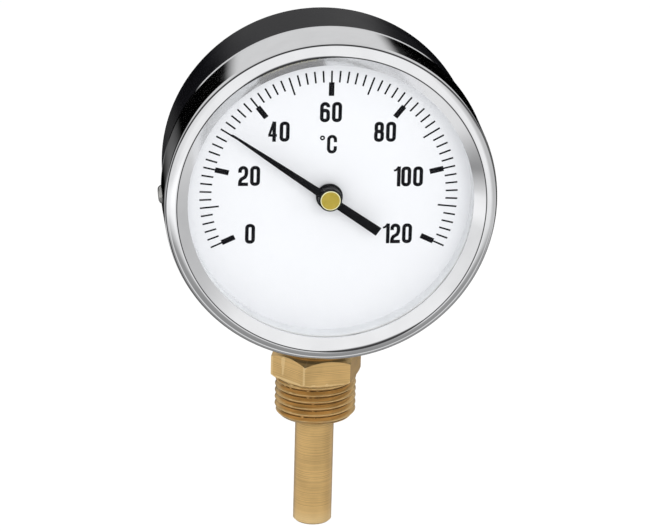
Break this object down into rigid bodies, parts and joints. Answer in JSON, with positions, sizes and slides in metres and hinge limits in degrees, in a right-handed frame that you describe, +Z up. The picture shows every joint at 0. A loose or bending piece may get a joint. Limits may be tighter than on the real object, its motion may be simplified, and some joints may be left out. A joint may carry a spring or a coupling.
{
  "type": "dial thermometer",
  "caption": "Bimetal dial thermometer: round black case with a chrome bezel, white scale and black pointer on a side stem in a screw-in brass pocket.",
  "frame": {"origin": "on the stem axis, on the sealing shoulder under the pocket's hexagon", "axes": "+Z up the stem to the dial, the dial faces -Y, +X to the right of the dial as it is read"},
  "size_m": [0.084, 0.0411, 0.1377],
  "materials": {
    "pocket_brass": "turned brass, satin, lightly tarnished",
    "turned_brass": "turned brass, clean",
    "blued_steel": "blackened steel",
    "fibre": "vulcanised fibre",
    "case_black": "glossy black stoved enamel",
    "bezel_chrome": "polished chrome plate",
    "window": "clear flat glass",
    "silicone": "white silicone",
    "spacer_white": "moulded white plastic",
    "dial_white": "matt white enamel",
    "screw_nickel": "nickel plate",
    "zinc_steel": "zinc-plated sheet steel",
    "seal_rubber": "black rubber",
    "stem_steel": "bright drawn steel",
    "bimetal": "bimetal strip, rolled",
    "pointer_black": "satin black enamel",
    "hub_black": "black",
    "hub_brass": "lacquered brass, dull yellow"
  },
  "bodies": {
    "pocket": {"pocket": "pocket_brass"},
    "clamp": {"clamp_screw": "blued_steel"},
    "washer": {"seat_washer": "fibre"},
    "head": {"case_shell": "case_black", "bezel_ring": "bezel_chrome", "window_glass": "window", "window_gasket": "silicone", "spacer_ring": "spacer_white", "dial_plate": "dial_white", "case_side_screws": "screw_nickel", "movement_bracket": "zinc_steel", "rear_bridge": "zinc_steel", "bridge_pillars": "turned_brass", "bridge_screws": "screw_nickel", "arbor_front_bush": "turned_brass", "arbor_rear_bush": "turned_brass", "spindle_bush": "turned_brass", "stem_socket": "turned_brass", "case_seal": "seal_rubber", "saddle_washer": "zinc_steel", "socket_nut": "turned_brass", "stem_tube": "stem_steel", "stem_plug": "turned_brass", "stem_guide": "turned_brass"},
    "spindle": {"spindle_rod": "stem_steel", "spindle_collar": "turned_brass", "drive_gear": "turned_brass", "coil_carrier": "turned_brass", "bimetal_coil": "bimetal"},
    "pointer": {"pointer": "pointer_black", "pointer_hub": "hub_black", "hub_cap": "hub_black", "hub_disc": "hub_brass", "pointer_arbor": "stem_steel", "arbor_gear": "turned_brass", "arbor_collar": "turned_brass"}
  },
  "joints": [
    {"name": "clamp_screw_travel", "type": "slide", "parent": "pocket", "child": "clamp", "axis": [0, 1, 0], "range_m": [0, 0.003]},
    {"name": "head_lift", "type": "slide", "parent": "pocket", "child": "washer", "axis": [0, 0, 1], "range_m": [0, 0.045]},
    {"name": "head_swivel", "type": "hinge", "parent": "washer", "child": "head", "pos_m": [0, 0, 0.0128], "axis": [0, 0, 1], "range_deg": [-180, 180]},
    {"name": "spindle_turn", "type": "hinge", "parent": "head", "child": "spindle", "pos_m": [0, 0, 0], "axis": [0, 0, 1], "range_deg": [-170.4, 59.6], "deforming": ["bimetal_coil"]},
    {"name": "pointer_turn", "type": "hinge", "parent": "head", "child": "pointer", "pos_m": [0, -0.024, 0.0553], "axis": [0, 1, 0], "range_deg": [-59.6, 170.4]}
  ],
  "couplings": [
    {"joint": "spindle_turn", "follows": "pointer_turn", "ratio": -1}
  ]
}
